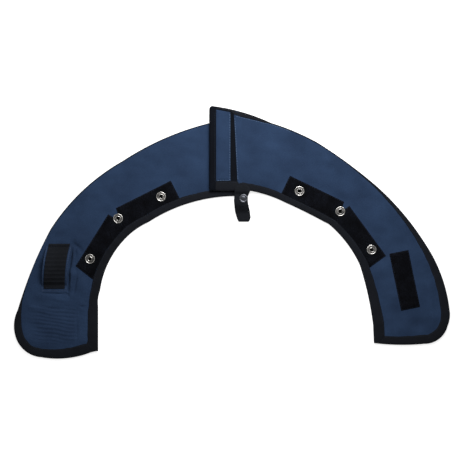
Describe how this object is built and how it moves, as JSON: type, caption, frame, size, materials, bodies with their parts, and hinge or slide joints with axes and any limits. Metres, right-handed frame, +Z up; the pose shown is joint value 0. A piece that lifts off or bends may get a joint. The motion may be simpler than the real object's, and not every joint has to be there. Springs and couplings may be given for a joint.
{
  "type": "padded press-stud neck collar",
  "caption": "Padded horseshoe neck collar for a dog in two lapped fabric halves, with hook-and-loop strips, press studs, a keeper loop and a snap tab.",
  "frame": {"origin": "centre of the bounding box in plan, on the floor that the collar lies on", "axes": "+X from the left leg to the right leg, +Y from the neck opening to the lap, +Z up from the under side to the face with the strips and studs"},
  "size_m": [0.5622, 0.3256, 0.0153],
  "materials": {
    "navy_fabric": "matt navy nylon oxford, fine plain weave",
    "lining_fabric": "matt navy nylon lining",
    "foam": "closed-cell foam, hidden",
    "binding_tape": "matt black woven binding tape",
    "loop_pile": "matt black loop pile",
    "hook_tape": "black moulded hooks",
    "webbing": "black ribbed webbing",
    "nickel": "nickel-plated, lightly worn",
    "gunmetal": "dark gunmetal, satin",
    "stay_plastic": "flexible plastic strip, hidden"
  },
  "bodies": {
    "right_upper": {"right_upper_face": "navy_fabric", "right_upper_foam": "foam", "right_upper_lining": "lining_fabric", "right_end_binding": "binding_tape", "right_upper_neck_binding": "binding_tape", "right_upper_rim_binding": "binding_tape", "lap_end_tape": "binding_tape", "stay_channel": "navy_fabric", "stay": "stay_plastic", "lap_hook_patch": "hook_tape", "right_upper_strip": "loop_pile", "right_upper_press_studs": "nickel", "right_upper_stud_caps": "nickel"},
    "right_leg": {"right_leg_face": "navy_fabric", "right_leg_foam": "foam", "right_leg_lining": "lining_fabric", "right_leg_neck_binding": "binding_tape", "right_leg_end_binding": "binding_tape", "right_leg_rim_binding": "binding_tape", "right_lower_strip": "loop_pile", "right_leg_press_studs": "nickel", "right_leg_stud_caps": "nickel", "closure_loop_patch": "loop_pile"},
    "left_tongue": {"left_tongue_face": "navy_fabric", "left_tongue_foam": "foam", "left_tongue_lining": "lining_fabric", "left_tongue_binding": "binding_tape", "lap_loop_patch": "loop_pile"},
    "left_upper": {"left_upper_face": "navy_fabric", "left_upper_foam": "foam", "left_upper_lining": "lining_fabric", "left_upper_neck_binding": "binding_tape", "left_upper_rim_binding": "binding_tape", "left_upper_strip": "loop_pile", "left_upper_press_studs": "nickel", "left_upper_stud_caps": "nickel"},
    "left_leg": {"left_leg_face": "navy_fabric", "left_leg_foam": "foam", "left_leg_lining": "lining_fabric", "left_leg_neck_binding": "binding_tape", "left_leg_end_binding": "binding_tape", "left_leg_rim_binding": "binding_tape", "left_lower_strip": "loop_pile", "left_leg_press_studs": "nickel", "left_leg_stud_caps": "nickel", "keeper_backing": "navy_fabric", "keeper_webbing": "webbing", "closure_hook_patch": "hook_tape"},
    "tab_back": {"tab_back_strap": "webbing", "tab_snap_stud": "gunmetal"},
    "tab_front": {"tab_front_strap": "webbing", "tab_snap_socket": "gunmetal", "tab_snap_cap": "gunmetal"}
  },
  "joints": [
    {"name": "lap_adjust", "type": "hinge", "parent": "right_upper", "child": "left_tongue", "pos_m": [0.0045, -0.1277, 0], "axis": [0, 0, 1], "range_deg": [0, 6]},
    {"name": "left_wing_fold", "type": "hinge", "parent": "left_tongue", "child": "left_upper", "pos_m": [-0.0325, 0.045, 0.0056], "axis": [-0.1871, 0.9823, 0], "range_deg": [0, 60]},
    {"name": "left_leg_fold", "type": "hinge", "parent": "left_upper", "child": "left_leg", "pos_m": [-0.1513, 0.0114, 0.0056], "axis": [-0.6591, 0.7521, 0], "range_deg": [0, 75]},
    {"name": "right_leg_fold", "type": "hinge", "parent": "right_upper", "child": "right_leg", "pos_m": [0.1461, 0.0208, 0.0056], "axis": [-0.6309, -0.7759, 0], "range_deg": [0, 75]},
    {"name": "tab_snap_open", "type": "hinge", "parent": "tab_back", "child": "tab_front", "pos_m": [0.0135, 0.0139, 0.0018], "axis": [1, 0, 0], "range_deg": [0, 150]},
    {"name": "tab_swing", "type": "hinge", "parent": "right_upper", "child": "tab_back", "pos_m": [0.0135, 0.0516, 0.006], "axis": [-1, 0, 0], "range_deg": [0, 60]}
  ],
  "couplings": [
    {"joint": "tab_swing", "follows": "tab_snap_open", "ratio": 0.4}
  ]
}
